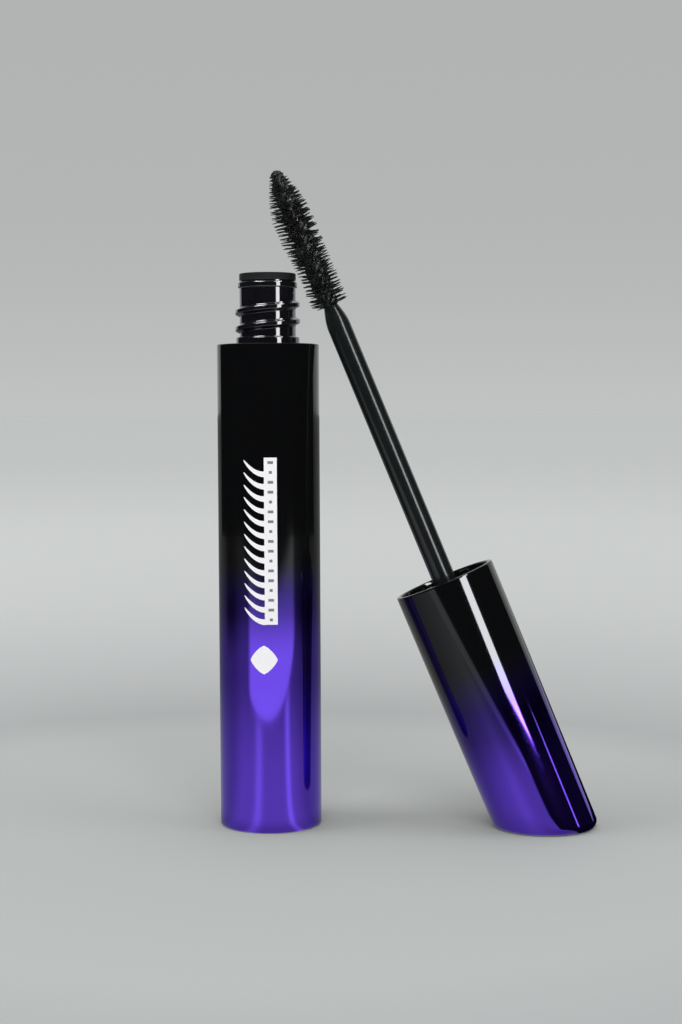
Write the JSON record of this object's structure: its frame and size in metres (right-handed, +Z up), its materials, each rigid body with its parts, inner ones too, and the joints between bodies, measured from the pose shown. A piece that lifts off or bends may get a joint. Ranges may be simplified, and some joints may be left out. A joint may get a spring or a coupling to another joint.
{
  "type": "mascara tube",
  "caption": "Slim round mascara tube with a threaded neck and wiper, open, its cap-mounted brush applicator standing on a slanted cap end and leaning over the neck.",
  "frame": {"origin": "centre of the tube's base, on the surface that the object stands on", "axes": "+Z up along the tube's axis; +X from the tube to the foot of the leaning applicator; +Y away from the viewer who sees the applicator on the right"},
  "size_m": [0.0636, 0.017, 0.1093],
  "materials": {
    "lacquer": "metallised and lacquered, violet at one end fading to black at the other",
    "foot_plastic": "fine satin black",
    "neck_plastic": "high gloss black",
    "wiper_rubber": "soft matte charcoal",
    "formula": "wet black paste",
    "liner_plastic": "moulded black, lightly glossy",
    "seal_rubber": "matte",
    "stem_plastic": "satin gloss black",
    "bristle": "moulded black bristles with wet product on them"
  },
  "bodies": {
    "tube": {"outer_sleeve": "lacquer", "base_plug": "foot_plastic", "vial": "neck_plastic", "wiper": "wiper_rubber", "mascara_formula": "formula"},
    "seal": {"seal_ring": "seal_rubber"},
    "applicator": {"cap_shell": "lacquer", "inner_cap": "liner_plastic", "stem": "stem_plastic", "brush_core": "stem_plastic", "bristle_sleeve": "bristle"}
  },
  "joints": [
    {"name": "applicator_swing", "type": "hinge", "parent": "tube", "child": "seal", "pos_m": [0.00202, 0, 0.10204], "axis": [0, -1, 0], "range_deg": [0, 157.6]},
    {"name": "cap_turn", "type": "hinge", "parent": "seal", "child": "applicator", "pos_m": [0.04627, 0, 0], "axis": [-0.3811, 0, 0.9245], "continuous": true}
  ]
}
